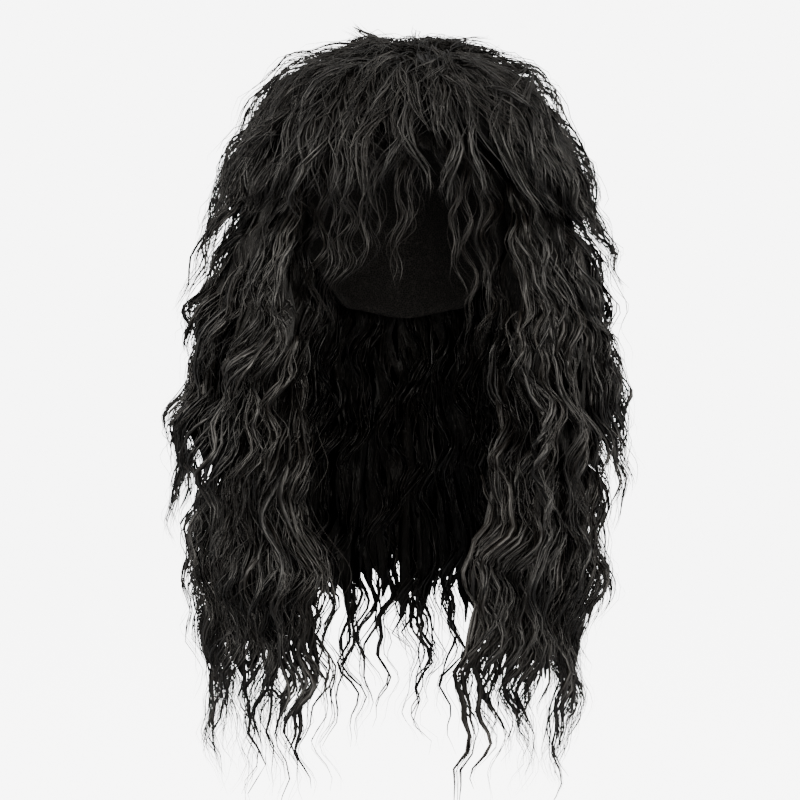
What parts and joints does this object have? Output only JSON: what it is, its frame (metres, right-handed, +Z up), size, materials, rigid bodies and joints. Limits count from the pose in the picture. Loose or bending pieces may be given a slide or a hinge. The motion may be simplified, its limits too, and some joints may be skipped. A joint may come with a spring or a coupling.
{
  "type": "long curly wig",
  "caption": "Long layered wig of crimped off-black fibre on an open stretch cap, with a choppy crown, thin fringe, long side masses and a long back.",
  "frame": {"origin": "inside of the cap's crown, where the cap sits on the top of the head", "axes": "+Z up, -Y the way the face looks, +X the wearer's left, which is the viewer's right"},
  "size_m": [0.34, 0.3014, 0.5628],
  "materials": {
    "fibre": "crimped synthetic hair fibre, off-black, satin sheen",
    "net": "black stretch net, matt"
  },
  "bodies": {
    "root": {"cap": "net", "crown_layer": "fibre", "fringe": "fibre", "left_middle_layer": "fibre", "back_middle_layer": "fibre", "right_middle_layer": "fibre", "left_long_layer": "fibre", "back_long_layer": "fibre", "right_long_layer": "fibre"}
  },
  "joints": []
}
